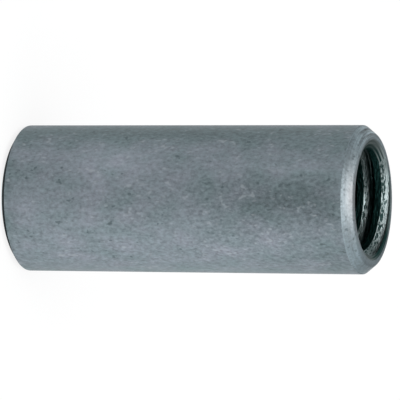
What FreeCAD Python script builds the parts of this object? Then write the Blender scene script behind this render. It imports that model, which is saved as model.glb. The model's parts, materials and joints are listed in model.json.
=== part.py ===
"""Round coupling nut: a plain turned sleeve, tapped right through, that joins two threaded rods end to end.

It is one piece of round steel bar. It stands on its cut-off end, with its axis along +Z and the origin at the
centre of that end. The bore is drawn at the tapping drill's size: the thread itself is a fine detail.
"""

import FreeCAD
import Part
import Sketcher

import os

FULL_TURN = 360.0

# How a sketch numbers its own origin and X axis, and the two ends of a line.
ORIGIN = (-1, 1)
X_AXIS = -1
START = 1
END = 2

# Driving dimensions in millimetres and degrees, with what each one is.
DIMENSIONS = (
    ("thread_diameter", 8.0, "nominal diameter of the rod's thread"),
    ("thread_pitch", 1.25, "coarse pitch of the thread"),
    ("drill_allowance", 0.15, "how far the tapping drill is over the thread's diameter less its pitch"),
    ("wall", 1.0, "metal between the thread and the outside"),
    ("body_length", 25.0, "overall length"),
    ("mouth_clearance", 0.05, "how far a countersunk mouth is wider than the thread, on the radius"),
    ("mouth_angle", 120.0, "included angle of the countersunk mouths"),
    ("face_land", 0.39, "width of the flat ring left on each end, before its nose is rounded"),
    ("chamfer_length", 0.7, "length of the outer chamfer on the finished end"),
    ("cutoff_chamfer_length", 0.4, "length of the outer chamfer on the cut-off end"),
    ("nose_radius", 0.35, "rounding where an outer chamfer meets the flat ring"),
)

# Sizes that follow from the driving dimensions, as expressions on the sheet.
BORE_RADIUS = "(sizes.thread_diameter - sizes.thread_pitch + sizes.drill_allowance) / 2"
MOUTH_RADIUS = "sizes.thread_diameter / 2 + sizes.mouth_clearance"
LAND_RADIUS = f"{MOUTH_RADIUS} + sizes.face_land"
BODY_RADIUS = "sizes.thread_diameter / 2 + sizes.wall"
MOUTH_DEPTH = f"({MOUTH_RADIUS} - {BORE_RADIUS}) / tan(sizes.mouth_angle / 2)"


def make_sheet(doc):
    """Puts the driving dimensions in a spreadsheet, one named cell each."""
    sheet = doc.addObject("Spreadsheet::Sheet", "sizes")
    for row, (name, value, meaning) in enumerate(DIMENSIONS, start=1):
        sheet.set(f"A{row}", name)
        sheet.set(f"B{row}", str(value))
        sheet.set(f"C{row}", meaning)
        sheet.setAlias(f"B{row}", name)
    doc.recompute()


def origin_feature(body, role):
    """The body's own origin plane or axis with that role."""
    return next(f for f in body.Origin.OriginFeatures if f.Role == role)


def half_section(body, doc):
    """Sketches the sleeve's half section: distance from the axis runs along X, height along Z."""
    corners = {
        "cutoff_bore": (BORE_RADIUS, MOUTH_DEPTH),
        "cutoff_mouth": (MOUTH_RADIUS, None),
        "cutoff_land": (LAND_RADIUS, None),
        "cutoff_shoulder": (BODY_RADIUS, "sizes.cutoff_chamfer_length"),
        "finished_shoulder": (BODY_RADIUS, "sizes.body_length - sizes.chamfer_length"),
        "finished_land": (LAND_RADIUS, "sizes.body_length"),
        "finished_mouth": (MOUTH_RADIUS, "sizes.body_length"),
        "finished_bore": (BORE_RADIUS, f"sizes.body_length - {MOUTH_DEPTH}"),
    }
    sketch = body.newObject("Sketcher::SketchObject", "half_section")
    sketch.AttachmentSupport = (origin_feature(body, "XZ_Plane"), "")
    sketch.MapMode = "FlatFace"

    def value(expression):
        return float(sketch.evalExpression(expression)) if expression else 0.0

    places = [FreeCAD.Vector(value(r), value(z), 0) for r, z in corners.values()]
    for line, start in enumerate(places):
        end = places[(line + 1) % len(places)]
        sketch.addGeometry(Part.LineSegment(start, end), False)
    for line in range(len(places)):
        sketch.addConstraint(Sketcher.Constraint("Coincident", line, END, (line + 1) % len(places), START))

    for line, (name, (radius, height)) in enumerate(corners.items()):
        across = Sketcher.Constraint("DistanceX", *ORIGIN, line, START, places[line].x)
        across.Name = f"{name}_radius"
        sketch.addConstraint(across)
        sketch.setExpression(f"Constraints.{name}_radius", radius)
        if height is None:
            sketch.addConstraint(Sketcher.Constraint("PointOnObject", line, START, X_AXIS))
        else:
            up = Sketcher.Constraint("DistanceY", *ORIGIN, line, START, places[line].y)
            up.Name = f"{name}_height"
            sketch.addConstraint(up)
            sketch.setExpression(f"Constraints.{name}_height", height)
    doc.recompute()
    return sketch


def ring_rims(shape):
    """Names of the outer edges of the shape's flat rings, where the outer chamfers begin."""
    rings = [face for face in shape.Faces if isinstance(face.Surface, Part.Plane)]
    rims = [edge for ring in rings for edge in ring.OuterWire.Edges]
    names = []
    for number, edge in enumerate(shape.Edges, start=1):
        if any(edge.isSame(rim) for rim in rims):
            names.append(f"Edge{number}")
    return names


def coupling_nut(doc):
    """Turns the sleeve from its half section, then rounds the nose of each end."""
    body = doc.addObject("PartDesign::Body", "coupling_nut")
    sketch = half_section(body, doc)
    turned = body.newObject("PartDesign::Revolution", "turned_sleeve")
    turned.Profile = sketch
    turned.ReferenceAxis = (sketch, ["V_Axis"])
    turned.Angle = FULL_TURN
    doc.recompute()
    nose = body.newObject("PartDesign::Fillet", "rounded_nose")
    nose.Base = (turned, ring_rims(turned.Shape))
    nose.setExpression("Radius", "sizes.nose_radius")
    body.Tip = nose
    body.Label = "coupling_nut"
    doc.recompute()
    return body


def check(doc, pieces):
    """Stops before anything is written if an object failed or a piece isn't one valid solid."""
    for item in doc.Objects:
        if {"Invalid", "Error"} & set(item.State):
            raise RuntimeError(f"{item.Label} failed: {item.State}")
    for piece in pieces:
        if piece.Shape.isNull() or not piece.Shape.isValid() or len(piece.Shape.Solids) != 1:
            raise RuntimeError(f"{piece.Label} is not one valid solid")


def main():
    """Builds the document, checks it and writes one STEP file for each piece."""
    doc = FreeCAD.newDocument("round_coupling_nut")
    make_sheet(doc)
    pieces = [coupling_nut(doc)]
    check(doc, pieces)
    os.makedirs("parts", exist_ok=True)
    for piece in pieces:
        piece.Shape.exportStep(os.path.join("parts", f"{piece.Label}.step"))
        box = piece.Shape.BoundBox
        print(f"{piece.Label}: {box.XLength:.2f} x {box.YLength:.2f} x {box.ZLength:.2f} mm")


main()
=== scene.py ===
"""Dresses a round coupling nut: a dull steel sleeve with a real right-hand thread, on a pale studio floor.

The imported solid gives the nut's place and size. The nut modelled here stands for that solid and adds the
thread, and its materials add the skin of the drawn bar, the turned ends and the metal cut inside.
"""

import json
import math

import bmesh
import bpy
from mathutils import Matrix, Vector


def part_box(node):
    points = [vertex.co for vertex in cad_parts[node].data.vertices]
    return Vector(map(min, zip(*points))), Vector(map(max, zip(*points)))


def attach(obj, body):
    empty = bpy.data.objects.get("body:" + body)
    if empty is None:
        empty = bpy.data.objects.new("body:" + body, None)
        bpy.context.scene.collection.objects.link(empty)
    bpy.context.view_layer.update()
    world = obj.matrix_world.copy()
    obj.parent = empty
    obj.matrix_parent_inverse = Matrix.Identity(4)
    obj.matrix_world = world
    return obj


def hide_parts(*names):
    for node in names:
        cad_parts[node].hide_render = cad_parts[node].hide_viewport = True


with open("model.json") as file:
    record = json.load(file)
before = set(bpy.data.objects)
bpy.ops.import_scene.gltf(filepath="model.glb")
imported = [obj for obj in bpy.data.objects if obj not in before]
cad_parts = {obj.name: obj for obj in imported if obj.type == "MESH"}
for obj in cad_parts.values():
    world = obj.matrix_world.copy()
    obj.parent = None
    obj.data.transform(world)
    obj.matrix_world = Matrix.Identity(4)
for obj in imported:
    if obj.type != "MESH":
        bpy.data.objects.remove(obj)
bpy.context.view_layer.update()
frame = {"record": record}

bl_info = {
    "name": "Round coupling nut",
    "version": (1, 0, 0),
    "blender": (4, 5, 0),
    "location": "3D View > Sidebar > Coupling nut",
    "description": "Models a round coupling nut with its thread, and a studio to show it in",
    "category": "Object",
}

MM = 0.001
NODE = "coupling_nut"

# The solid's own box and bore, which the nut's main sizes come from.
LOW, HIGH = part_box(NODE)
BORE = next(mount for mount in frame["record"]["mounts"] if mount["kind"] == "threaded_hole")["dims"]

# How finely the nut is turned, and how finely a nose is rounded.
TURN_STEPS = 144
NOSE_STEPS = 8

# Points of the groove's turns that are closer than this are one point, in millimetres.
WELD = 1e-4

# A face at least this share of the bar's radius from the axis belongs to the bar's skin.
SKIN_SHARE = 0.9999

# Faces that meet at more than this show a crisp edge.
CRISP_EDGE = math.radians(25)

# The nut's material slots, in order.
SKIN, TURNED, PARTED, MOUTH, TAPPED, SHADED_FLANK = range(6)

# Sockets of the Mix node when it mixes colours: it has others of the same names for its other modes.
MIX_A, MIX_B, MIX_RESULT = 6, 7, 2

# The middle of a noise texture's range.
NOISE_MIDDLE = 0.5

# How large the marks on the steel are, in millimetres: the skin's clouds and tints, the grain, the pits
# and the pale smears on the flanks painted in shade.
CLOUD, TINT, GRAIN, PIT, SMEAR = 2.6, 1.3, 0.2, 0.3, 0.4

# The skin's clouds, and its finer marks, are longer along the bar than round it.
CLOUDS_DRAWN = (1, 1, 0.3)
MARKS_DRAWN = (1, 1, 0.65)

# What makes up the skin's brightness: an even part, and what its tints, clouds and grain add.
EVEN_SKIN, TINT_TONE, CLOUD_TONE, GRAIN_TONE = 0.185, 0.12, 0.22, 1.24

# How strongly pits gather on the skin's darker tints, and rubs on its paler ones.
GATHERING = 0.45

# Patches on the skin, in millimetres: the middle of each patch, how far it reaches, and how much paler and
# greener it is. Most are wear. The two that run the whole length are painted shade down the bar's -X side
# and painted light down its +X side, and the last makes the skin darker and greener towards the cut-off end.
WEAR_AND_PAINTED_LIGHT_PATCHES = (
    ((0.3, -5.0, 19.5), (3.4, 4.0, 18.0), -0.25, 0.4),
    ((-4.4, -2.4, 14.0), (3.1, 3.1, 40.0), -0.23, 1.0),
    ((4.8, -1.4, 14.0), (2.6, 2.6, 40.0), 0.17, 0.4),
    ((1.0, -4.0, 24.0), (12.0, 8.0, 12.0), -0.1, 0.2),
    ((3.6, -3.2, 25.0), (6.5, 6.5, 14.0), -0.2, 0.0),
    ((-2.3, -4.4, 8.0), (3.0, 3.0, 5.0), 0.22, -0.2),
    ((-1.9, -4.6, 21.5), (1.5, 2.0, 8.0), 0.2, 0.0),
    ((-0.6, -5.0, 24.5), (4.0, 4.0, 1.6), 0.25, 0.0),
    ((0.0, -4.0, 0.0), (8.0, 6.0, 2.4), -0.2, 0.8),
)

# How far from the axis the tools cut, in millimetres, and the lines that they leave: how wide these are,
# and how far they run. A real feed is about 0.05 mm, and the lines are drawn coarser, so that they show.
TOOL_RADIUS = 4.0
TURNED_LINES = (0.16, 3.0)
PARTED_LINES = (0.2, 3.0)
COUNTERSUNK_LINES = (0.12, 4.0)
TAPPED_LINES = (0.16, 2.5)

# Tears in the tapped metal, in the same way.
TEARS = (0.11, 0.3)

# Where a highlight is painted on the front of the finished end's chamfer, in millimetres: the middle, and
# how far it reaches.
CHAMFER_HIGHLIGHT_PATCH = ((-0.3, -4.5, 24.85), (6.0, 2.8, 1.1))

# Where highlights are painted on its nose, in the same way, and how much brighter each is.
NOSE_HIGHLIGHT_PATCHES = (
    ((-2.65, -3.75, 24.8), (3.6, 3.6, 0.45), 0.5),
    ((3.3, -2.9, 24.95), (3.6, 3.6, 0.5), 0.25),
)

# Where its rings are deepest, in the same way, how strong they are elsewhere, and what they gain there.
RINGED_PATCH = ((-4.7, -0.9, 24.8), (4.2, 4.2, 2.0))
RING_DEPTH, RING_GAIN = 0.7, 5.5

# Where the first of the dark patches in the finished end's mouth reaches over its edge, in the same way, and
# how dark it makes the flat ring there.
RIM_DARK_PATCH = ((2.6, 3.1, 25.0), (4.2, 4.2, 4.2))
RIM_DARK_ON_RING = 0.45

# Dark patches in the finished end's mouth, in the same way, and how dark each is on the cone and on the
# thread.
# The last is painted shade on the mouth's -X side under its rim; the others darken it towards +Y and +X.
MOUTH_DARK_PATCHES = (
    (*RIM_DARK_PATCH, 0.9, 0.1),
    ((-2.5, 2.9, 24.6), (3.3, 3.3, 3.3), 0.1, 0.62),
    ((3.3, 1.5, 24.4), (3.0, 3.0, 3.0), 0.35, 0.75),
    ((-3.5, -0.3, 24.45), (3.2, 3.2, 0.5), 1.4, 0.5),
)

# Where the thread runs out through the mouth, where its first turn is most torn, and where a highlight is
# painted on its second turn, in the same way.
RUN_OUT_PATCH = ((-2.75, 2.75, 24.8), (2.2, 2.2, 2.2))
TORN_PATCH = ((0.2, 3.5, 24.4), (3.2, 1.6, 0.6))
SECOND_TURN_HIGHLIGHT_PATCH = ((0.55, 3.6, 23.4), (2.2, 1.2, 0.7))

# What makes up the thread's brightness: an even part, and what its scores and the painted highlight add.
EVEN_CUT, SCORE_TONE, SECOND_TURN_HIGHLIGHT_TONE = 0.18, 1.5, 1.3

# How far behind the crests the thread tears, in millimetres, and how much weaker it is where it is
# most torn.
TEAR_LINE = 0.17
TORN_WEAKER = 0.05

# The shade painted on the second turn and further in: how dark it is, and how much of the tearing it hides.
SHADE_DARKNESS, SHADE_HIDES = 0.66, 0.07

# How much of the floor's look is plain white. The rest takes light and shadow.
FLOOR_WHITE = 0.84

# Half the floor's width, and the nearest that the camera sees, in metres.
FLOOR_HALF = 3.0
NEAREST = 0.01

# The width of the camera's sensor, in millimetres.
SENSOR_WIDTH = 36

# How bright the world is.
WORLD_LIGHT = 0.42

# The lamps: how bright each one is and, in metres, its width, its height, its place and what it faces.
LAMPS = {
    "overhead": (2.6, 0.45, 0.5, (0, -0.16, 0.4), (0, 0, 0.02)),
    "side": (3.6, 0.8, 0.16, (0.43, -0.12, 0.085), (0, 0, 0.085)),
    "left fill": (0.3, 0.4, 0.3, (-0.45, 0.1, 0.3), (0, 0, 0.02)),
    "right fill": (0.8, 0.4, 0.3, (0.45, 0.1, 0.3), (0, 0, 0.02)),
    "back fill": (0.7, 0.5, 0.3, (-0.3, 0.45, 0.28), (0, 0, 0.02)),
}


def linear(hex_colour):
    """An sRGB hex colour as linear red, green, blue and alpha."""
    parts = [int(hex_colour[i : i + 2], 16) / 255 for i in (1, 3, 5)]
    return [c / 12.92 if c <= 0.04045 else ((c + 0.055) / 1.055) ** 2.4 for c in parts] + [1.0]


def length(name, description, default):
    """A length property in metres, from a default in millimetres."""
    return bpy.props.FloatProperty(
        name=name, description=description, default=default * MM, unit="LENGTH", precision=5
    )


def angle(name, description, default):
    """An angle property, from a default in degrees."""
    return bpy.props.FloatProperty(
        name=name, description=description, default=math.radians(default), subtype="ANGLE"
    )


def colour(name, description, default):
    """A colour property, from an sRGB hex default."""
    return bpy.props.FloatVectorProperty(
        name=name, description=description, default=linear(default), size=4, subtype="COLOR", min=0, max=1
    )


class NutSizes(bpy.types.PropertyGroup):
    """Sizes of the turned sleeve and of the thread cut in it."""

    body_length: length("Length", "Overall length", (HIGH.z - LOW.z) / MM)
    body_radius: length("Body radius", "Radius of the bar", (HIGH.x - LOW.x) / 2 / MM)
    bore_radius: length("Bore radius", "Radius of the tapping drill", BORE["r_mm"])
    mouth_radius: length("Mouth radius", "Radius of the countersunk mouths at the faces", 4.05)
    mouth_angle: angle("Mouth angle", "Included angle of the countersunk mouths", 120)
    land_radius: length("Land radius", "Where a flat ring would meet its outer chamfer", 4.44)
    chamfer: length("Chamfer", "Length of the outer chamfer on the finished end", 0.7)
    cutoff_chamfer: length("Cut-off chamfer", "Length of the outer chamfer on the cut-off end", 0.4)
    nose_radius: length("Nose radius", "Rounding between a flat ring and its outer chamfer", 0.35)
    thread_radius: length("Thread radius", "Radius of the thread at its roots", 4.08)
    thread_pitch: length("Thread pitch", "Distance from one turn of the thread to the next", 1.25)
    root_width: length("Root width", "Width of the flat at the thread's roots", 0.064)
    flank_angle: angle("Flank angle", "Angle of a thread flank from square to the axis", 30)
    groove_depth: length("Groove depth", "How far the groove lies under the finished face, at +Y", 0.11)
    edge_radius: length("Edge radius", "Broken edge where a chamfer meets the bar", 0.03)


class SteelFinish(bpy.types.PropertyGroup):
    """Colours of the steel's surfaces, of what lies on them, and of the painted highlight and shade."""

    dark_skin: colour("Dark skin", "Darker, greener tints of the bar's skin", "#78878B")
    pale_skin: colour("Pale skin", "Paler, bluer tints of the bar's skin", "#868C95")
    mark: colour("Marks", "Small pits in the steel", "#4A5558")
    rub: colour("Rubs", "Small bright rubs on the skin", "#A3ABB0")
    turned: colour("Turned end", "Metal of the finished end's chamfer, nose and ring", "#7C8A90")
    # The chamfer's colour where a highlight is painted on its front.
    patch_mark: colour("Chamfer highlight", "Turned metal painted paler as a highlight", "#8F9193")
    # The cut-off end's dark colour: scale, and painted shade at the nut's foot.
    scale: colour("Scale", "Dark scale and painted shade on the cut-off end", "#2B3335")
    mouth: colour("Mouths", "Metal of the countersunk mouths", "#7A8484")
    cut: colour("Cut metal", "Metal of the thread", "#BAC8C9")
    # Used for stains, torn metal, and the shade painted in the mouth and thread.
    stain_and_shade: colour("Stains and shade", "Dark patches, torn metal and painted shade in the mouth and thread", "#163533")


class StudioSettings(bpy.types.PropertyGroup):
    """The camera and the floor's colour."""

    camera_distance: length("Camera distance", "From the camera to what it aims at", 280.5)
    camera_elevation: angle("Camera elevation", "How far the camera looks down", 19.65)
    camera_roll: angle("Camera roll", "Turns the standing nut to lie across the picture", 90.31)
    camera_lens: bpy.props.FloatProperty(
        name="Lens", description="The camera's focal length", default=372.3, subtype="DISTANCE_CAMERA"
    )
    aim: bpy.props.FloatVectorProperty(
        name="Aim", description="The point that the camera aims at", subtype="XYZ",
        default=(0.077 * MM, 0.0, 12.72 * MM), precision=5,
    )
    floor: colour("Floor", "The pale floor", "#F4F5F5")


def add(tree, kind, inputs=None, **settings):
    """Adds a node, gives it its settings, and links or sets each input that is named."""
    node = tree.nodes.new(kind)
    for name, value in settings.items():
        setattr(node, name, value)
    for name, value in (inputs or {}).items():
        if isinstance(value, bpy.types.NodeSocket):
            tree.links.new(value, node.inputs[name])
        else:
            node.inputs[name].default_value = value
    return node


def per_metre(size_mm):
    """A texture's scale for features of that size."""
    return 1 / (size_mm * MM)


def new_material(name):
    """An empty node material, with its tree."""
    material = bpy.data.materials.new(name)
    material.use_nodes = True
    material.node_tree.nodes.clear()
    return material, material.node_tree


def patch(tree, place, middle, reach):
    """1 at the middle of a patch on the nut, fading to 0 as far off as it reaches, both in millimetres."""
    local = add(
        tree, "ShaderNodeMapping",
        {"Vector": place, "Location": Vector(middle) * MM, "Scale": Vector(reach) * MM},
        vector_type="TEXTURE",
    ).outputs["Vector"]
    return add(
        tree, "ShaderNodeTexGradient", {"Vector": local}, gradient_type="QUADRATIC_SPHERE"
    ).outputs["Fac"]


def pits_and_rubs(tree, marks, tint, skin, finish):
    """The skin's colour with small dark pits on its darker tints and small bright rubs on its paler ones."""
    flecks = add(
        tree, "ShaderNodeTexNoise", {"Vector": marks, "Scale": per_metre(PIT), "Detail": 1.0}
    ).outputs["Fac"]
    gathered = add(
        tree, "ShaderNodeMath", {0: tint, 1: -GATHERING, 2: flecks}, operation="MULTIPLY_ADD"
    ).outputs["Value"]
    pitted = add(
        tree, "ShaderNodeMapRange", {"Value": gathered, "From Min": 0.485, "From Max": 0.565, "To Max": 0.6}
    ).outputs["Result"]
    shiny = add(
        tree, "ShaderNodeMapRange", {"Value": gathered, "From Min": 0.13, "From Max": 0.0, "To Max": 0.44}
    ).outputs["Result"]
    dotted = add(
        tree, "ShaderNodeMix", {"Factor": pitted, MIX_A: skin, MIX_B: finish.mark}, data_type="RGBA"
    ).outputs[MIX_RESULT]
    return add(
        tree, "ShaderNodeMix", {"Factor": shiny, MIX_A: dotted, MIX_B: finish.rub}, data_type="RGBA"
    ).outputs[MIX_RESULT]


def drawn_skin(finish):
    """Cold-drawn steel bar as it comes: dull, grey, cloudy along its length, grained, pitted and rubbed,
    with shade painted down its -X side and light painted down its +X side.
    """
    material, tree = new_material("drawn_steel_skin")
    place = add(tree, "ShaderNodeTexCoord").outputs["Object"]
    drawn = add(tree, "ShaderNodeMapping", {"Vector": place, "Scale": CLOUDS_DRAWN}).outputs["Vector"]
    marks = add(tree, "ShaderNodeMapping", {"Vector": place, "Scale": MARKS_DRAWN}).outputs["Vector"]
    clouds = add(
        tree, "ShaderNodeTexNoise", {"Vector": drawn, "Scale": per_metre(CLOUD), "Detail": 2.0}
    ).outputs["Fac"]
    tint = add(
        tree, "ShaderNodeTexNoise", {"Vector": marks, "Scale": per_metre(TINT), "Detail": 3.0}
    ).outputs["Fac"]
    grain = add(
        tree, "ShaderNodeTexNoise",
        {"Vector": marks, "Scale": per_metre(GRAIN), "Detail": 3.0, "Roughness": 0.6},
    ).outputs["Fac"]
    mottled = add(
        tree, "ShaderNodeMath", {0: tint, 1: TINT_TONE, 2: EVEN_SKIN}, operation="MULTIPLY_ADD"
    ).outputs["Value"]
    cloudy = add(
        tree, "ShaderNodeMath", {0: clouds, 1: CLOUD_TONE, 2: mottled}, operation="MULTIPLY_ADD"
    ).outputs["Value"]
    hue = add(
        tree, "ShaderNodeMapRange", {"Value": tint, "From Min": 0.2, "From Max": 0.74}
    ).outputs["Result"]
    # Wear patches, with painted shade down the bar's -X side and painted light down its +X side.
    for middle, reach, paler, greener in WEAR_AND_PAINTED_LIGHT_PATCHES:
        patch_mark = patch(tree, place, middle, reach)
        cloudy = add(
            tree, "ShaderNodeMath", {0: patch_mark, 1: paler, 2: cloudy}, operation="MULTIPLY_ADD"
        ).outputs["Value"]
        hue = add(
            tree, "ShaderNodeMath", {0: patch_mark, 1: -greener, 2: hue}, operation="MULTIPLY_ADD"
        ).outputs["Value"]
    tone = add(
        tree, "ShaderNodeMath", {0: grain, 1: GRAIN_TONE, 2: cloudy}, operation="MULTIPLY_ADD"
    ).outputs["Value"]
    skin = add(
        tree, "ShaderNodeMix", {"Factor": hue, MIX_A: finish.dark_skin, MIX_B: finish.pale_skin},
        data_type="RGBA",
    ).outputs[MIX_RESULT]
    toned = add(
        tree, "ShaderNodeMix", {"Factor": 1.0, MIX_A: skin, MIX_B: tone},
        data_type="RGBA", blend_type="MULTIPLY",
    ).outputs[MIX_RESULT]
    base = pits_and_rubs(tree, marks, tint, toned, finish)
    dull = add(
        tree, "ShaderNodeMapRange",
        {"Value": grain, "From Min": 0.3, "From Max": 0.7, "To Min": 0.44, "To Max": 0.56},
    ).outputs["Result"]
    relief = add(tree, "ShaderNodeBump", {"Height": grain, "Distance": 0.013 * MM}).outputs["Normal"]
    # A grey specular tint dims what a metal shows at a glancing angle, as dull skin, scale and oil do.
    shader = add(
        tree, "ShaderNodeBsdfPrincipled",
        {
            "Base Color": base, "Metallic": 1.0, "Roughness": dull, "Normal": relief,
            "Specular Tint": (0.8, 0.8, 0.8, 1),
        },
    )
    add(tree, "ShaderNodeOutputMaterial", {"Surface": shader.outputs["BSDF"]})
    return material


def round_axis(tree, place):
    """How far each point is from the nut's axis, and in which direction."""
    flat = add(
        tree, "ShaderNodeVectorMath", {0: place, 1: (1, 1, 0)}, operation="MULTIPLY"
    ).outputs["Vector"]
    radius = add(tree, "ShaderNodeVectorMath", {0: flat}, operation="LENGTH").outputs["Value"]
    heading = add(tree, "ShaderNodeVectorMath", {0: flat}, operation="NORMALIZE").outputs["Vector"]
    return radius, heading


def tool_lines(tree, place, radius, heading, line_mm, run_mm):
    """Noise drawn out round the axis, as a tool leaves it: lines about this wide that run about this far."""
    run = TOOL_RADIUS / run_mm
    height = add(
        tree, "ShaderNodeVectorMath", {0: place, 1: (0, 0, per_metre(line_mm))}, operation="MULTIPLY"
    ).outputs["Vector"]
    point = add(
        tree, "ShaderNodeVectorMath", {0: heading, 1: (run, run, 0), 2: height}, operation="MULTIPLY_ADD"
    ).outputs["Vector"]
    across = add(
        tree, "ShaderNodeMath", {0: radius, 1: per_metre(line_mm)}, operation="MULTIPLY"
    ).outputs["Value"]
    return add(
        tree, "ShaderNodeTexNoise", {"Vector": point, "W": across, "Scale": 1.0, "Detail": 2.0},
        noise_dimensions="4D",
    ).outputs["Fac"]


def turned_steel(finish):
    """Steel faced and chamfered in a lathe: grey as the skin, ringed and pitted, with highlights painted on
    the front of its chamfer and on its nose.
    """
    material, tree = new_material("turned_steel")
    place = add(tree, "ShaderNodeTexCoord").outputs["Object"]
    radius, heading = round_axis(tree, place)
    rings = tool_lines(tree, place, radius, heading, *TURNED_LINES)
    grain = add(
        tree, "ShaderNodeTexNoise",
        {"Vector": place, "Scale": per_metre(GRAIN), "Detail": 3.0, "Roughness": 0.6},
    ).outputs["Fac"]
    # The front of the chamfer is painted paler, as a highlight.
    metal = add(
        tree, "ShaderNodeMix",
        {"Factor": patch(tree, place, *CHAMFER_HIGHLIGHT_PATCH), MIX_A: finish.turned, MIX_B: finish.patch_mark},
        data_type="RGBA",
    ).outputs[MIX_RESULT]
    depth = add(
        tree, "ShaderNodeMath", {0: patch(tree, place, *RINGED_PATCH), 1: RING_GAIN, 2: RING_DEPTH},
        operation="MULTIPLY_ADD",
    ).outputs["Value"]
    centred = add(
        tree, "ShaderNodeMath", {0: rings, 1: NOISE_MIDDLE}, operation="SUBTRACT"
    ).outputs["Value"]
    ringed = add(
        tree, "ShaderNodeMath", {0: centred, 1: depth, 2: NOISE_MIDDLE}, operation="MULTIPLY_ADD"
    ).outputs["Value"]
    tone = add(tree, "ShaderNodeMath", {0: grain, 1: ringed}, operation="ADD").outputs["Value"]
    bright = tone
    # Painted highlights on the nose.
    for middle, reach, brighter in NOSE_HIGHLIGHT_PATCHES:
        bright = add(
            tree, "ShaderNodeMath", {0: patch(tree, place, middle, reach), 1: brighter, 2: bright},
            operation="MULTIPLY_ADD",
        ).outputs["Value"]
    toned = add(
        tree, "ShaderNodeMix", {"Factor": 1.0, MIX_A: metal, MIX_B: bright},
        data_type="RGBA", blend_type="MULTIPLY",
    ).outputs[MIX_RESULT]
    # The first of the mouth's dark patches reaches over the flat ring beside it.
    spread = add(
        tree, "ShaderNodeMath", {0: patch(tree, place, *RIM_DARK_PATCH), 1: RIM_DARK_ON_RING}, operation="MULTIPLY"
    ).outputs["Value"]
    darkened = add(
        tree, "ShaderNodeMix", {"Factor": spread, MIX_A: toned, MIX_B: finish.stain_and_shade}, data_type="RGBA"
    ).outputs[MIX_RESULT]
    flecks = add(
        tree, "ShaderNodeTexNoise", {"Vector": place, "Scale": per_metre(PIT), "Detail": 1.0}
    ).outputs["Fac"]
    pitted = add(
        tree, "ShaderNodeMapRange", {"Value": flecks, "From Min": 0.63, "From Max": 0.75, "To Max": 0.6}
    ).outputs["Result"]
    base = add(
        tree, "ShaderNodeMix", {"Factor": pitted, MIX_A: darkened, MIX_B: finish.mark}, data_type="RGBA"
    ).outputs[MIX_RESULT]
    relief = add(tree, "ShaderNodeBump", {"Height": tone, "Distance": 0.012 * MM}).outputs["Normal"]
    shader = add(
        tree, "ShaderNodeBsdfPrincipled",
        {"Base Color": base, "Metallic": 1.0, "Roughness": 0.47, "Normal": relief},
    )
    add(tree, "ShaderNodeOutputMaterial", {"Surface": shader.outputs["BSDF"]})
    return material


def parted_steel(finish):
    """The end parted from the bar, never finished: ringed by the tool, and nearly black with scale and with
    painted shade at the nut's foot.
    """
    material, tree = new_material("parted_steel")
    place = add(tree, "ShaderNodeTexCoord").outputs["Object"]
    radius, heading = round_axis(tree, place)
    rings = tool_lines(tree, place, radius, heading, *PARTED_LINES)
    bare = add(
        tree, "ShaderNodeMapRange", {"Value": rings, "From Min": 0.45, "From Max": 0.75, "To Max": 0.7}
    ).outputs["Result"]
    base = add(
        tree, "ShaderNodeMix", {"Factor": bare, MIX_A: finish.scale, MIX_B: finish.mouth}, data_type="RGBA"
    ).outputs[MIX_RESULT]
    shader = add(
        tree, "ShaderNodeBsdfPrincipled",
        {"Base Color": base, "Metallic": 1.0, "Roughness": 0.55, "Specular Tint": (0.4, 0.4, 0.4, 1)},
    )
    add(tree, "ShaderNodeOutputMaterial", {"Surface": shader.outputs["BSDF"]})
    return material


def countersunk_steel(finish, sizes):
    """Steel cut by the countersink: ringed where the tool chattered, painted darker towards the bore as
    shade, and with dark patches.
    """
    material, tree = new_material("countersunk_steel")
    place = add(tree, "ShaderNodeTexCoord").outputs["Object"]
    radius, heading = round_axis(tree, place)
    rings = tool_lines(tree, place, radius, heading, *COUNTERSUNK_LINES)
    ringed = add(
        tree, "ShaderNodeMapRange",
        {"Value": rings, "From Min": 0.3, "From Max": 0.7, "To Min": -0.55, "To Max": 0.55},
    ).outputs["Result"]
    # Painted shade: the cone is darker towards the bore.
    undarkened = add(
        tree, "ShaderNodeMapRange",
        {
            "Value": radius, "From Min": sizes.bore_radius, "From Max": sizes.mouth_radius,
            "To Min": 0.12, "To Max": 0.85,
        },
    ).outputs["Result"]
    for middle, reach, on_cone, _ in MOUTH_DARK_PATCHES:
        undarkened = add(
            tree, "ShaderNodeMath", {0: patch(tree, place, middle, reach), 1: -on_cone, 2: undarkened},
            operation="MULTIPLY_ADD",
        ).outputs["Value"]
    bare = add(
        tree, "ShaderNodeMath", {0: undarkened, 1: ringed}, operation="ADD", use_clamp=True
    ).outputs["Value"]
    cone = add(
        tree, "ShaderNodeMix", {"Factor": bare, MIX_A: finish.stain_and_shade, MIX_B: finish.mouth}, data_type="RGBA"
    ).outputs[MIX_RESULT]
    # The tap scrapes the cone bright where the thread runs out.
    scraped = add(
        tree, "ShaderNodeMath", {0: patch(tree, place, *RUN_OUT_PATCH), 1: bare}, operation="MULTIPLY"
    ).outputs["Value"]
    base = add(
        tree, "ShaderNodeMix", {"Factor": scraped, MIX_A: cone, MIX_B: finish.cut}, data_type="RGBA"
    ).outputs[MIX_RESULT]
    shader = add(
        tree, "ShaderNodeBsdfPrincipled",
        {"Base Color": base, "Metallic": 1.0, "Roughness": 0.45, "Specular Tint": (0.55, 0.55, 0.55, 1)},
    )
    add(tree, "ShaderNodeOutputMaterial", {"Surface": shader.outputs["BSDF"]})
    return material


def depth_inside(tree, place, sizes):
    """How far in each point is from the nearer end of the nut."""
    height = add(tree, "ShaderNodeSeparateXYZ", {"Vector": place}).outputs["Z"]
    from_top = add(
        tree, "ShaderNodeMath", {0: sizes.body_length, 1: height}, operation="SUBTRACT"
    ).outputs["Value"]
    return add(tree, "ShaderNodeMath", {0: height, 1: from_top}, operation="MINIMUM").outputs["Value"]


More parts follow.
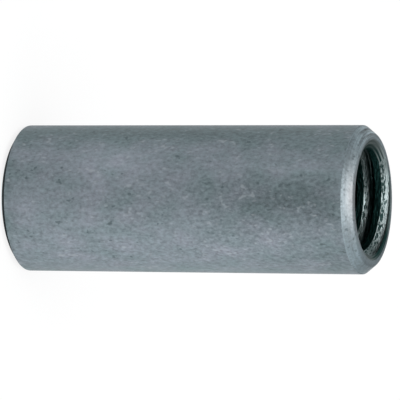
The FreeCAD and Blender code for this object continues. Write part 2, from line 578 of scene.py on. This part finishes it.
def torn_metal(tree, place, radius, tears, darkened, sizes):
    """How torn the thread looks: most on a line just behind the crests, and less where shade is painted from
    the second turn on.
    """
    past_line = add(
        tree, "ShaderNodeMath", {0: radius, 1: sizes.bore_radius + TEAR_LINE * MM}, operation="SUBTRACT"
    ).outputs["Value"]
    off_line = add(tree, "ShaderNodeMath", {0: past_line}, operation="ABSOLUTE").outputs["Value"]
    weak = add(
        tree, "ShaderNodeMapRange",
        {
            "Value": off_line, "From Min": 0.1 * MM, "From Max": 0.28 * MM,
            "To Min": 0.1, "To Max": -0.08,
        },
    ).outputs["Result"]
    weakest = add(
        tree, "ShaderNodeMath", {0: patch(tree, place, *TORN_PATCH), 1: TORN_WEAKER, 2: weak},
        operation="MULTIPLY_ADD",
    ).outputs["Value"]
    showing = add(
        tree, "ShaderNodeMath", {0: darkened, 1: -SHADE_HIDES, 2: weakest}, operation="MULTIPLY_ADD"
    ).outputs["Value"]
    strained = add(tree, "ShaderNodeMath", {0: tears, 1: showing}, operation="ADD").outputs["Value"]
    return add(
        tree, "ShaderNodeMapRange", {"Value": strained, "From Min": 0.52, "From Max": 0.62, "To Max": 0.95}
    ).outputs["Result"]


def thread_darkening(tree, place, radius, depth, second_turn, sizes):
    """How dark the thread is painted: as shade on crests, in roots and further in, and in the mouth's dark
    patches.
    """
    # Crests and roots are painted dark as shade.
    crest = add(
        tree, "ShaderNodeMapRange",
        {
            "Value": radius, "From Min": sizes.bore_radius + 0.03 * MM, "From Max": sizes.bore_radius,
            "To Max": 0.99,
        },
    ).outputs["Result"]
    root = add(
        tree, "ShaderNodeMapRange",
        {
            "Value": radius, "From Min": sizes.thread_radius - 0.03 * MM,
            "From Max": sizes.thread_radius - 0.01 * MM, "To Max": 0.8,
        },
    ).outputs["Result"]
    # From the second turn on, painted shade stands further up the flanks from the roots, and after that it
    # covers them.
    root_side = add(
        tree, "ShaderNodeMapRange",
        {
            "Value": radius, "From Min": sizes.thread_radius - 0.4 * MM,
            "From Max": sizes.thread_radius - 0.15 * MM,
        },
    ).outputs["Result"]
    flank_shade = add(tree, "ShaderNodeMath", {0: second_turn, 1: root_side}, operation="MULTIPLY").outputs["Value"]
    deep_shade = add(
        tree, "ShaderNodeMapRange",
        {"Value": depth, "From Min": 1.9 * MM, "From Max": 2.5 * MM, "To Max": 0.95},
    ).outputs["Result"]
    patches = [
        add(
            tree, "ShaderNodeMath", {0: patch(tree, place, middle, reach), 1: on_thread},
            operation="MULTIPLY",
        ).outputs["Value"]
        for middle, reach, _, on_thread in MOUTH_DARK_PATCHES
    ]
    return [crest, root, flank_shade, deep_shade, *patches]


def tapped_steel(finish, sizes):
    """Steel cut by the tap: bright, scored flanks, torn behind the crests, with shade painted on crests and
    roots and darker further in.
    """
    material, tree = new_material("tapped_steel")
    place = add(tree, "ShaderNodeTexCoord").outputs["Object"]
    radius, heading = round_axis(tree, place)
    depth = depth_inside(tree, place, sizes)
    scores = tool_lines(tree, place, radius, heading, *TAPPED_LINES)
    tears = tool_lines(tree, place, radius, heading, *TEARS)
    # A highlight painted on the second turn's flank at the far (+Y) side.
    second_turn_highlight = patch(tree, place, *SECOND_TURN_HIGHLIGHT_PATCH)
    scored = add(
        tree, "ShaderNodeMath", {0: scores, 1: SCORE_TONE, 2: EVEN_CUT}, operation="MULTIPLY_ADD"
    ).outputs["Value"]
    bright = add(
        tree, "ShaderNodeMath", {0: second_turn_highlight, 1: SECOND_TURN_HIGHLIGHT_TONE, 2: scored}, operation="MULTIPLY_ADD"
    ).outputs["Value"]
    toned = add(
        tree, "ShaderNodeMix", {"Factor": 1.0, MIX_A: finish.cut, MIX_B: bright},
        data_type="RGBA", blend_type="MULTIPLY",
    ).outputs[MIX_RESULT]
    # From the second turn on, painted shade darkens the metal and hides its tears, apart from the stretch
    # with the painted highlight.
    second_turn = add(
        tree, "ShaderNodeMapRange",
        {"Value": depth, "From Min": 0.9 * MM, "From Max": 1.3 * MM, "To Max": 0.95},
    ).outputs["Result"]
    outside_second_turn_highlight = add(
        tree, "ShaderNodeMath", {0: 1.0, 1: second_turn_highlight}, operation="SUBTRACT"
    ).outputs["Value"]
    darkened = add(
        tree, "ShaderNodeMath", {0: second_turn, 1: outside_second_turn_highlight}, operation="MULTIPLY"
    ).outputs["Value"]
    second_turn_shade = add(tree, "ShaderNodeMath", {0: darkened, 1: SHADE_DARKNESS}, operation="MULTIPLY").outputs["Value"]
    stained_and_shaded = torn_metal(tree, place, radius, tears, darkened, sizes)
    for darkness in (second_turn_shade, *thread_darkening(tree, place, radius, depth, second_turn, sizes)):
        stained_and_shaded = add(tree, "ShaderNodeMath", {0: stained_and_shaded, 1: darkness}, operation="MAXIMUM").outputs["Value"]
    base = add(
        tree, "ShaderNodeMix", {"Factor": stained_and_shaded, MIX_A: toned, MIX_B: finish.stain_and_shade}, data_type="RGBA"
    ).outputs[MIX_RESULT]
    ragged = add(tree, "ShaderNodeBump", {"Height": tears, "Distance": 0.1 * MM}).outputs["Normal"]
    shader = add(
        tree, "ShaderNodeBsdfPrincipled",
        {
            "Base Color": base, "Metallic": 1.0, "Roughness": 0.46, "Normal": ragged,
            "Specular Tint": (0.3, 0.3, 0.3, 1),
        },
    )
    add(tree, "ShaderNodeOutputMaterial", {"Surface": shader.outputs["BSDF"]})
    return material


def shaded_flank_steel(finish):
    """Cut steel painted nearly black as shade: the thread's flanks that face away from the nearer mouth,
    with a few pale smears.
    """
    material, tree = new_material("shaded_flank_steel")
    place = add(tree, "ShaderNodeTexCoord").outputs["Object"]
    smears = add(
        tree, "ShaderNodeTexNoise", {"Vector": place, "Scale": per_metre(SMEAR), "Detail": 2.0}
    ).outputs["Fac"]
    wiped = add(
        tree, "ShaderNodeMapRange", {"Value": smears, "From Min": 0.5, "From Max": 0.8, "To Max": 0.2}
    ).outputs["Result"]
    base = add(
        tree, "ShaderNodeMix", {"Factor": wiped, MIX_A: finish.stain_and_shade, MIX_B: finish.cut}, data_type="RGBA"
    ).outputs[MIX_RESULT]
    shader = add(
        tree, "ShaderNodeBsdfPrincipled",
        {"Base Color": base, "Metallic": 1.0, "Roughness": 0.4, "Specular Tint": (0.2, 0.2, 0.2, 1)},
    )
    add(tree, "ShaderNodeOutputMaterial", {"Surface": shader.outputs["BSDF"]})
    return material


def mesh_object(bm, name):
    """An object in the scene from a bmesh, which is freed."""
    bmesh.ops.recalc_face_normals(bm, faces=bm.faces)
    mesh = bpy.data.meshes.new(name)
    bm.to_mesh(mesh)
    bm.free()
    made = bpy.data.objects.new(name, mesh)
    bpy.context.scene.collection.objects.link(made)
    return made


def mouth_depth(sizes):
    """How deep a countersunk mouth is, from its face to the bore."""
    return (sizes.mouth_radius - sizes.bore_radius) / math.tan(sizes.mouth_angle / 2)


def half_section(sizes):
    """The outline of the sleeve's half section, with its noses and edges rounded, in millimetres."""
    top = sizes.body_length
    section = {
        "cutoff_bore": (sizes.bore_radius, mouth_depth(sizes)),
        "cutoff_mouth": (sizes.mouth_radius, 0),
        "cutoff_land": (sizes.land_radius, 0),
        "cutoff_shoulder": (sizes.body_radius, sizes.cutoff_chamfer),
        "finished_shoulder": (sizes.body_radius, top - sizes.chamfer),
        "finished_land": (sizes.land_radius, top),
        "finished_mouth": (sizes.mouth_radius, top),
        "finished_bore": (sizes.bore_radius, top - mouth_depth(sizes)),
    }
    bm = bmesh.new()
    corners = {name: bm.verts.new((r / MM, 0, z / MM)) for name, (r, z) in section.items()}
    bm.faces.new(tuple(corners.values()))
    step_in = sizes.body_radius - sizes.land_radius
    rounded = (
        ("cutoff_land", sizes.nose_radius, math.atan2(sizes.cutoff_chamfer, step_in)),
        ("cutoff_shoulder", sizes.edge_radius, math.atan2(step_in, sizes.cutoff_chamfer)),
        ("finished_shoulder", sizes.edge_radius, math.atan2(step_in, sizes.chamfer)),
        ("finished_land", sizes.nose_radius, math.atan2(sizes.chamfer, step_in)),
    )
    for name, radius, turn in rounded:
        bmesh.ops.bevel(
            bm,
            geom=[corners[name]],
            offset=radius / MM * math.tan(turn / 2),
            segments=NOSE_STEPS,
            profile=0.5,
            affect="VERTICES",
            material=-1,
        )
    bmesh.ops.delete(bm, geom=bm.faces[:], context="FACES_ONLY")
    return bm


def turned_sleeve(sizes):
    """The sleeve before it is tapped, spun from its half section, each face with its surface's slot."""
    bm = half_section(sizes)
    bmesh.ops.spin(
        bm,
        geom=bm.verts[:] + bm.edges[:],
        axis=(0, 0, 1),
        cent=(0, 0, 0),
        angle=math.tau,
        steps=TURN_STEPS,
        use_merge=True,
    )
    # The middle of a face is nearer the axis than its corners are.
    body = sizes.body_radius / MM * math.cos(math.pi / TURN_STEPS)
    mouth = sizes.mouth_radius / MM
    bore_start = mouth_depth(sizes)
    bore_end = sizes.body_length - bore_start
    for face in bm.faces:
        centre = face.calc_center_median()
        radius = centre.xy.length
        if radius < mouth:
            in_bore = bore_start < centre.z * MM < bore_end
            face.material_index = TAPPED if in_bore else MOUTH
        elif radius < body * SKIN_SHARE:
            face.material_index = TURNED if centre.z * MM > sizes.body_length / 2 else PARTED
        else:
            face.material_index = SKIN
    return mesh_object(bm, NODE + "_turned")


def thread_groove(sizes):
    """What the tap takes out: its section carried along the helix, past both ends, in millimetres."""
    pitch = sizes.thread_pitch / MM
    root = sizes.thread_radius / MM
    # The section starts this far inside the bore, so that it cuts right through the bore's wall.
    overcut = pitch / 8
    inner = sizes.bore_radius / MM - overcut
    root_half = sizes.root_width / MM / 2
    inner_half = root_half + (root - inner) * math.tan(sizes.flank_angle)
    # The groove starts a turn or more below the nut and ends a turn or more above it.
    turns_below = math.ceil(sizes.body_length / sizes.thread_pitch) + 1
    turns = turns_below + 2
    start = (sizes.body_length - sizes.groove_depth) / MM - turns_below * pitch
    bm = bmesh.new()
    outline = ((inner, -inner_half), (root, -root_half), (root, root_half), (inner, inner_half))
    section = bm.faces.new([bm.verts.new((0, r, start + z)) for r, z in outline])
    bmesh.ops.delete(bm, geom=[section], context="FACES_ONLY")
    bmesh.ops.spin(
        bm,
        geom=bm.verts[:] + bm.edges[:],
        axis=(0, 0, 1),
        cent=(0, 0, 0),
        dvec=(0, 0, pitch / TURN_STEPS),
        angle=math.tau,
        steps=TURN_STEPS,
    )
    one_turn = bm.verts[:] + bm.edges[:] + bm.faces[:]
    for turn in range(1, turns):
        copied = bmesh.ops.duplicate(bm, geom=one_turn)["geom"]
        verts = [item for item in copied if isinstance(item, bmesh.types.BMVert)]
        bmesh.ops.translate(bm, verts=verts, vec=(0, 0, turn * pitch))
    bmesh.ops.remove_doubles(bm, verts=bm.verts, dist=WELD)
    bmesh.ops.holes_fill(bm, edges=[edge for edge in bm.edges if edge.is_boundary])
    bmesh.ops.recalc_face_normals(bm, faces=bm.faces)
    middle = sizes.body_length / MM / 2
    for face in bm.faces:
        # The groove's outside becomes the nut's inside, so what faces up here faces down there.
        away = face.normal.z * (face.calc_center_median().z - middle) > 0
        # Flanks that face away from the nearer mouth get the steel painted nearly black as shade.
        face.material_index = SHADED_FLANK if away else TAPPED
    return mesh_object(bm, NODE + "_groove")


class COUPLING_OT_add_nut(bpy.types.Operator):
    """Models the nut: turns the sleeve, taps it and gives it its six steel surfaces"""

    bl_idname = "coupling.add_nut"
    bl_label = "Add coupling nut"

    def execute(self, context):
        sizes = context.scene.coupling_nut_sizes
        finish = context.scene.coupling_nut_finish
        sleeve = turned_sleeve(sizes)
        groove = thread_groove(sizes)
        surfaces = (
            drawn_skin(finish),
            turned_steel(finish),
            parted_steel(finish),
            countersunk_steel(finish, sizes),
            tapped_steel(finish, sizes),
            shaded_flank_steel(finish),
        )
        for surface in surfaces:
            sleeve.data.materials.append(surface)
            groove.data.materials.append(surface)
        tapped = sleeve.modifiers.new("tapped", "BOOLEAN")
        tapped.operation = "DIFFERENCE"
        tapped.solver = "MANIFOLD"
        tapped.object = groove
        nut_mesh = bpy.data.meshes.new_from_object(
            sleeve.evaluated_get(context.evaluated_depsgraph_get())
        )
        if len(nut_mesh.polygons) <= len(sleeve.data.polygons):
            raise RuntimeError("the thread was not cut")
        bpy.data.objects.remove(sleeve)
        bpy.data.objects.remove(groove)
        nut_mesh.transform(Matrix.Scale(MM, 4))
        nut_mesh.shade_smooth()
        nut_mesh.set_sharp_from_angle(angle=CRISP_EDGE)
        nut = bpy.data.objects.new("threaded_nut", nut_mesh)
        context.scene.collection.objects.link(nut)
        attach(nut, "root")
        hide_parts(NODE)
        return {"FINISHED"}


def soft_box(name, brightness, width, height, place, aim):
    """A lamp that faces a point. Its brightness is what a white card there would need to look as bright."""
    lamp = bpy.data.lights.new(name, "AREA")
    lamp.shape = "RECTANGLE"
    lamp.size = width
    lamp.size_y = height
    lamp.energy = brightness * math.pi * width * height
    made = bpy.data.objects.new(name, lamp)
    made.location = place
    made.rotation_euler = (Vector(aim) - Vector(place)).to_track_quat("-Z", "Y").to_euler()
    made.visible_camera = False
    bpy.context.scene.collection.objects.link(made)


def seen_white(tree):
    """1 for a ray that the camera, a mirror or a glass sends, and 0 for one that lights other things."""
    path = add(tree, "ShaderNodeLightPath").outputs
    mirrored = add(
        tree, "ShaderNodeMath", {0: path["Is Camera Ray"], 1: path["Is Glossy Ray"]}, operation="MAXIMUM"
    ).outputs["Value"]
    return add(
        tree, "ShaderNodeMath", {0: mirrored, 1: path["Is Transmission Ray"]}, operation="MAXIMUM"
    ).outputs["Value"]


def studio_paper(settings, sizes):
    """Matt studio paper: it looks white, but takes the nut's shadow and is dark at the bore's bottom."""
    material, tree = new_material("studio_paper")
    paper = add(
        tree, "ShaderNodeBsdfPrincipled", {"Base Color": settings.floor, "Roughness": 0.9}
    ).outputs["BSDF"]
    white = add(tree, "ShaderNodeEmission", {"Strength": 1.0}).outputs["Emission"]
    place = add(tree, "ShaderNodeTexCoord").outputs["Object"]
    from_axis = add(tree, "ShaderNodeVectorMath", {0: place}, operation="LENGTH").outputs["Value"]
    outside = add(
        tree, "ShaderNodeMath", {0: from_axis, 1: sizes.mouth_radius}, operation="GREATER_THAN"
    ).outputs["Value"]
    open_white = add(
        tree, "ShaderNodeMath", {0: seen_white(tree), 1: outside}, operation="MULTIPLY"
    ).outputs["Value"]
    share = add(
        tree, "ShaderNodeMath", {0: open_white, 1: FLOOR_WHITE}, operation="MULTIPLY"
    ).outputs["Value"]
    shown = add(tree, "ShaderNodeMixShader", {0: share, 1: paper, 2: white}).outputs["Shader"]
    add(tree, "ShaderNodeOutputMaterial", {"Surface": shown})
    return material


class COUPLING_OT_add_studio(bpy.types.Operator):
    """Makes the floor, the lamps and the camera"""

    bl_idname = "coupling.add_studio"
    bl_label = "Add studio"

    def execute(self, context):
        scene = context.scene
        settings = scene.coupling_nut_studio
        scene.view_settings.view_transform = "Standard"

        bm = bmesh.new()
        bmesh.ops.create_grid(bm, x_segments=1, y_segments=1, size=FLOOR_HALF)
        floor = mesh_object(bm, "floor")
        floor.data.materials.append(studio_paper(settings, scene.coupling_nut_sizes))

        world = bpy.data.worlds.new("studio")
        world.use_nodes = True
        world.node_tree.nodes.clear()
        tree = world.node_tree
        light = add(tree, "ShaderNodeBackground", {"Strength": WORLD_LIGHT, "Color": (1, 1, 1, 1)})
        add(tree, "ShaderNodeOutputWorld", {"Surface": light.outputs["Background"]})
        scene.world = world

        for name, lamp in LAMPS.items():
            soft_box(name, *lamp)

        camera = bpy.data.objects.new("camera", bpy.data.cameras.new("camera"))
        camera.data.sensor_width = SENSOR_WIDTH
        camera.data.lens = settings.camera_lens
        camera.data.clip_start = NEAREST
        tilt = Matrix.Rotation(math.pi / 2 - settings.camera_elevation, 4, "X")
        back = tilt @ Vector((0, 0, settings.camera_distance))
        roll = Matrix.Rotation(settings.camera_roll, 4, "Z")
        camera.matrix_world = Matrix.Translation(Vector(settings.aim) + back) @ tilt @ roll
        scene.collection.objects.link(camera)
        scene.camera = camera
        return {"FINISHED"}


class COUPLING_PT_sidebar(bpy.types.Panel):
    """Sizes, colours and buttons for the coupling nut"""

    bl_label = "Coupling nut"
    bl_space_type = "VIEW_3D"
    bl_region_type = "UI"
    bl_category = "Coupling nut"

    def draw(self, context):
        for group in (
            context.scene.coupling_nut_sizes,
            context.scene.coupling_nut_finish,
            context.scene.coupling_nut_studio,
        ):
            box = self.layout.box()
            for name in group.__annotations__:
                box.prop(group, name)
        self.layout.operator(COUPLING_OT_add_nut.bl_idname)
        self.layout.operator(COUPLING_OT_add_studio.bl_idname)


CLASSES = (
    NutSizes,
    SteelFinish,
    StudioSettings,
    COUPLING_OT_add_nut,
    COUPLING_OT_add_studio,
    COUPLING_PT_sidebar,
)


def register():
    """Registers the classes and hangs the settings on the scene."""
    for cls in CLASSES:
        bpy.utils.register_class(cls)
    bpy.types.Scene.coupling_nut_sizes = bpy.props.PointerProperty(type=NutSizes)
    bpy.types.Scene.coupling_nut_finish = bpy.props.PointerProperty(type=SteelFinish)
    bpy.types.Scene.coupling_nut_studio = bpy.props.PointerProperty(type=StudioSettings)


def unregister():
    """Takes away what register added."""
    del bpy.types.Scene.coupling_nut_studio
    del bpy.types.Scene.coupling_nut_finish
    del bpy.types.Scene.coupling_nut_sizes
    for cls in reversed(CLASSES):
        bpy.utils.unregister_class(cls)


def main():
    """Builds the nut and its studio."""
    register()
    bpy.ops.coupling.add_nut()
    bpy.ops.coupling.add_studio()


if __name__ == "__main__":
    main()
